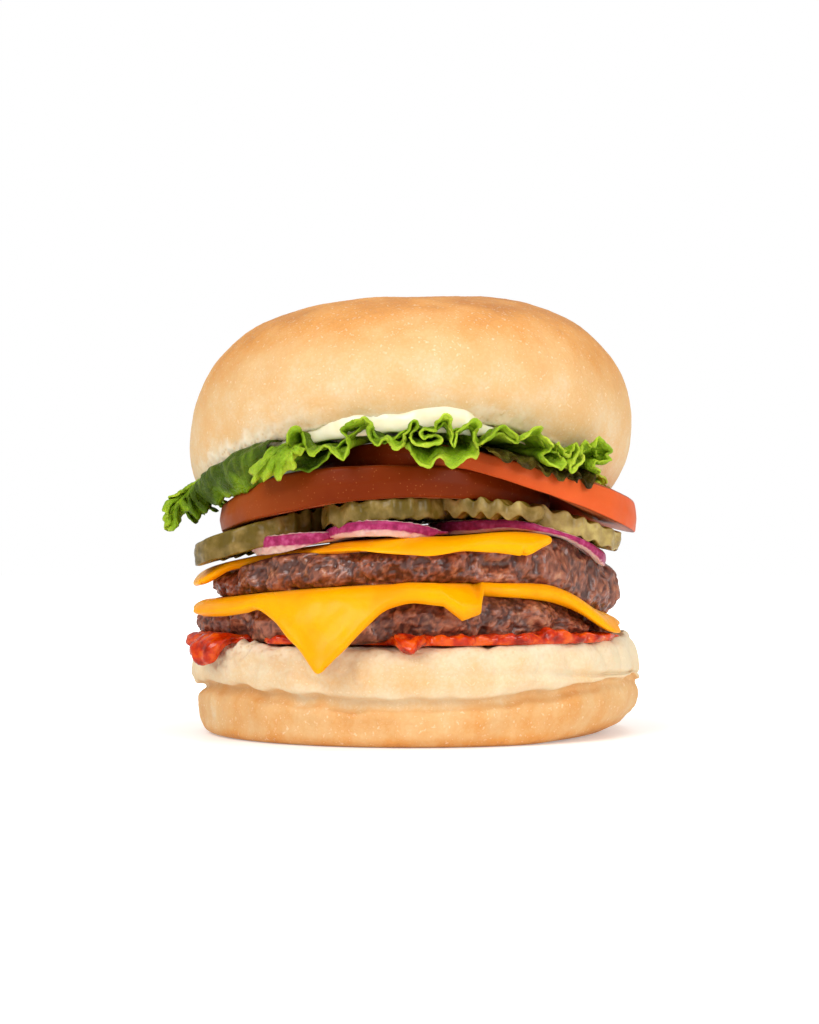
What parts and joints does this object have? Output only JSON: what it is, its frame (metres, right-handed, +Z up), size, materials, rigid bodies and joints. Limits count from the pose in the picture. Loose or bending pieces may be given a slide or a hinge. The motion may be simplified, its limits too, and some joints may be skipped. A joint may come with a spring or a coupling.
{
  "type": "double cheeseburger",
  "caption": "Double cheeseburger on a soft white bun, with melted cheese slices, red onion, crinkle-cut pickles, tomato, frilled lettuce, mayonnaise and ketchup.",
  "frame": {"origin": "middle of the flat underside of the bun's heel, on the surface it stands on", "axes": "+Z up; -Y is the front, where the pointed corner of the lower cheese slice hangs; +X to the right seen from the front"},
  "size_m": [0.108, 0.1096, 0.0996],
  "materials": {
    "bun": "soft baked crust, golden on top and cream at the sides",
    "patty": "coarse seared beef mince, moist in places",
    "cheese": "smooth melted slice, waxy",
    "onion": "raw red onion, purple skin and pale cut face",
    "pickle": "wet crinkle-cut cucumber pickle, translucent",
    "tomato": "raw tomato, moist",
    "lettuce": "fresh frilled leaf, waxy",
    "mayonnaise": "smooth and glossy",
    "ketchup": "wet and glossy"
  },
  "bodies": {
    "root": {"bun_heel": "bun", "ketchup": "ketchup", "patty_lower": "patty", "cheese_lower": "cheese", "patty_upper": "patty", "cheese_upper": "cheese", "onion_left": "onion", "onion_middle": "onion", "onion_right": "onion", "onion_back": "onion", "pickle_1": "pickle", "pickle_2": "pickle", "pickle_3": "pickle", "pickle_4": "pickle", "pickle_5": "pickle", "pickle_6": "pickle", "pickle_7": "pickle", "pickle_8": "pickle", "tomato_left": "tomato", "tomato_right": "tomato", "lettuce_left": "lettuce", "lettuce_front": "lettuce", "lettuce_right": "lettuce", "lettuce_back": "lettuce", "mayonnaise": "mayonnaise", "bun_crown": "bun"}
  },
  "joints": []
}
